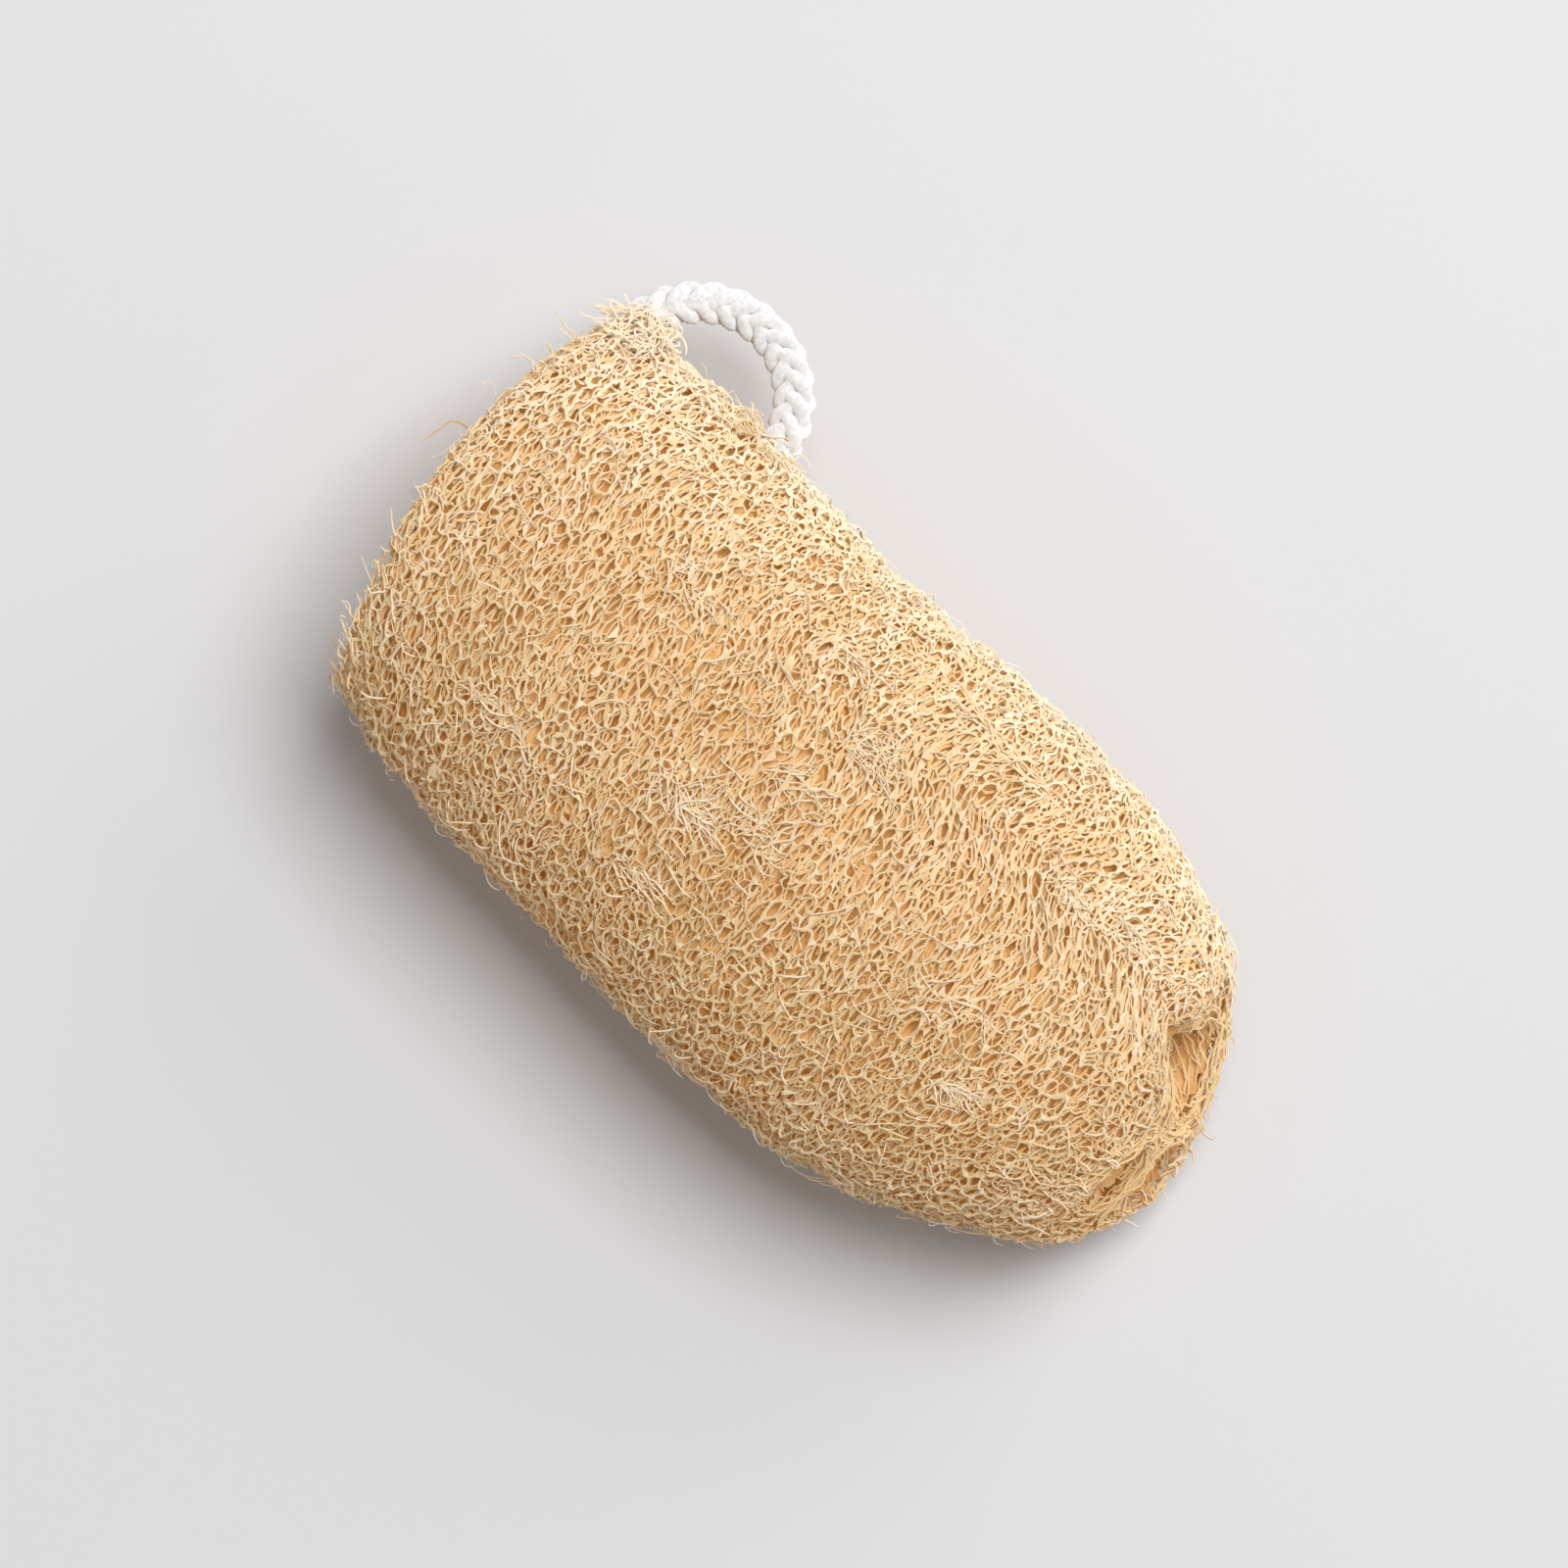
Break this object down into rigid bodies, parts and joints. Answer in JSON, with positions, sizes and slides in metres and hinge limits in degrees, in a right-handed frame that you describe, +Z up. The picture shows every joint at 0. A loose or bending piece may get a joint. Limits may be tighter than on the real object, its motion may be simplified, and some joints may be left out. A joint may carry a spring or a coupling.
{
  "type": "natural loofah sponge",
  "caption": "Dried gourd fibre sponge, a fat tapered cylinder of raised net with lengthwise seed channels, lying on its side, with a braided hanging loop at one end.",
  "frame": {"origin": "middle of the sponge's box at the level of the surface that it lies on", "axes": "+X along the sponge from the corded end to the slanted cut end, +Y across it towards the hanging loop, +Z up"},
  "size_m": [0.1376, 0.0803, 0.0528],
  "materials": {
    "dried_fibre": "matte dry plant fibre, straw-coloured strands over an orange-brown inner net",
    "cord": "soft white braided synthetic cord"
  },
  "bodies": {
    "root": {"loofah_sponge": "dried_fibre", "hanging_cord": "cord", "cord_knot": "cord"}
  },
  "joints": []
}
